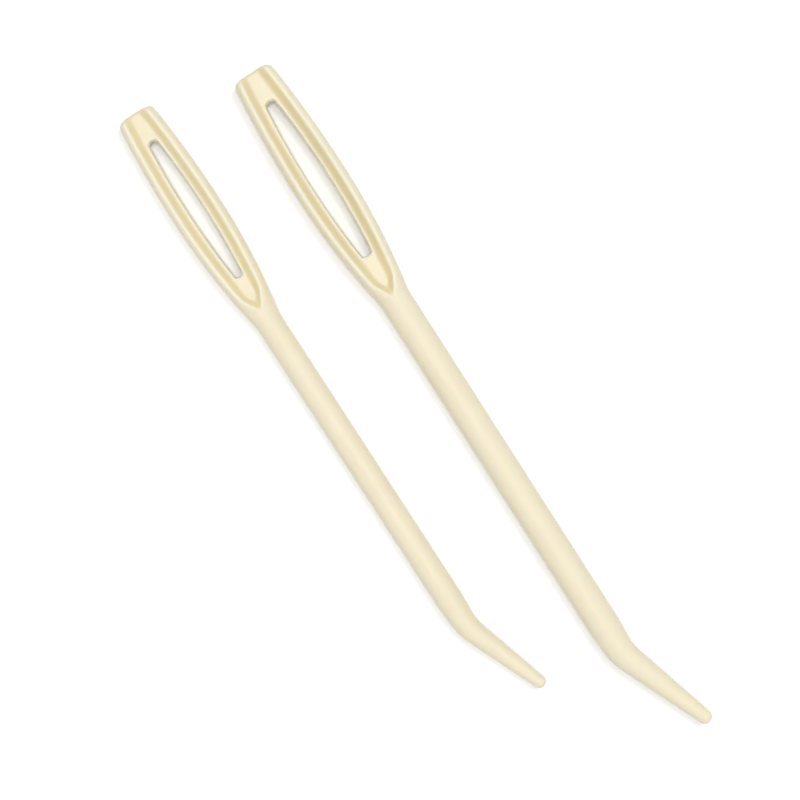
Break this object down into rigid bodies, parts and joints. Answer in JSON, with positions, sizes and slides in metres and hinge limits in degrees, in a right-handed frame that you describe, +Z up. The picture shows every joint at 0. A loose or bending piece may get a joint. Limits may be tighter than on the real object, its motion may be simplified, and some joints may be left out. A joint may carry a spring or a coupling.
{
  "type": "yarn needle",
  "caption": "Pair of bent-tip plastic yarn needles with wide flat heads, rims, a channelled floor, long eyes, round shafts and blunt tips bent to one side.",
  "frame": {"origin": "middle of the bottom of the pair's outer box, on the surface that the needles lie on", "axes": "+Z up from the surface, +Y from the tips to the heads along the large needle's shaft, +X to the side that the tips bend to"},
  "size_m": [0.0188, 0.0822, 0.0032],
  "materials": {
    "ivory_plastic": "satin moulded ivory plastic, slightly translucent"
  },
  "bodies": {
    "large_needle": {"large_needle": "ivory_plastic"},
    "small_needle": {"small_needle": "ivory_plastic"}
  },
  "joints": [
    {"name": "small_needle_lift", "type": "slide", "parent": "large_needle", "child": "small_needle", "axis": [0, 0, 1], "range_m": [0, 0.03]}
  ]
}
